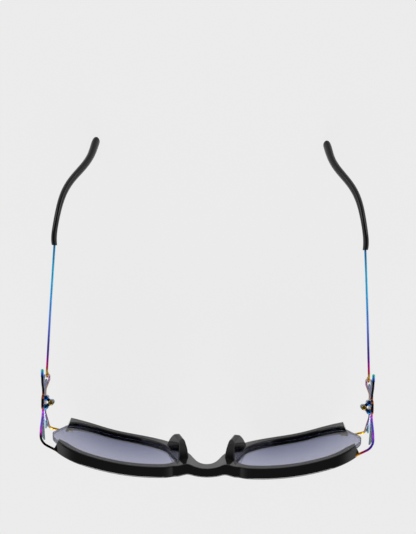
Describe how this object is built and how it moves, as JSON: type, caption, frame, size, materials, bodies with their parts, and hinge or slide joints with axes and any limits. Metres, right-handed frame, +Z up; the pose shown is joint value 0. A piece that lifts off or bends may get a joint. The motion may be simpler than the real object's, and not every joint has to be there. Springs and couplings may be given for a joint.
{
  "type": "butterfly sunglasses",
  "caption": "Sunglasses with a black acetate front, semi-open rims, gradient lenses, a pierced rainbow-plated metal butterfly as each hinge, and thin wire temples with black tips.",
  "frame": {"origin": "on the table the open sunglasses stand on, under the middle of their outline", "axes": "+Z up, the front faces -Y, the temples run towards +Y, the wearer's left side is at +X"},
  "size_m": [0.1444, 0.15, 0.0515],
  "materials": {
    "black_acetate": "polished black cellulose acetate",
    "gradient_lens": "tinted grey-lavender gradient lens, polished",
    "plated_wire": "rainbow plated steel wire, blue to violet and gold",
    "plated_leaf": "rainbow plated sheet, satin",
    "plated_body": "rainbow plated metal, polished blue",
    "brass_screw": "polished brass-coloured screw"
  },
  "bodies": {
    "front": {"front": "black_acetate", "left_lens": "gradient_lens", "left_fore_upper_wire": "plated_wire", "left_fore_lower_wire": "plated_wire", "left_fore_upper_leaf": "plated_leaf", "left_fore_lower_leaf": "plated_leaf", "left_front_hinge_leaf": "plated_body", "left_hinge_screw": "brass_screw", "right_lens": "gradient_lens", "right_fore_upper_wire": "plated_wire", "right_fore_lower_wire": "plated_wire", "right_fore_upper_leaf": "plated_leaf", "right_fore_lower_leaf": "plated_leaf", "right_front_hinge_leaf": "plated_body", "right_hinge_screw": "brass_screw"},
    "left_temple": {"left_temple_hinge_leaf": "plated_body", "left_hind_upper_wire": "plated_wire", "left_hind_lower_wire": "plated_wire", "left_hind_upper_leaf": "plated_leaf", "left_hind_lower_leaf": "plated_leaf", "left_temple_wire": "plated_wire", "left_temple_tip": "black_acetate"},
    "right_temple": {"right_temple_hinge_leaf": "plated_body", "right_hind_upper_wire": "plated_wire", "right_hind_lower_wire": "plated_wire", "right_hind_upper_leaf": "plated_leaf", "right_hind_lower_leaf": "plated_leaf", "right_temple_wire": "plated_wire", "right_temple_tip": "black_acetate"}
  },
  "joints": [
    {"name": "left_temple_fold", "type": "hinge", "parent": "front", "child": "left_temple", "pos_m": [0.0679, -0.04361, 0.0389], "axis": [0, 0, 1], "range_deg": [0, 85]},
    {"name": "right_temple_fold", "type": "hinge", "parent": "front", "child": "right_temple", "pos_m": [-0.0679, -0.04361, 0.0389], "axis": [0, 0, -1], "range_deg": [0, 79]}
  ]
}
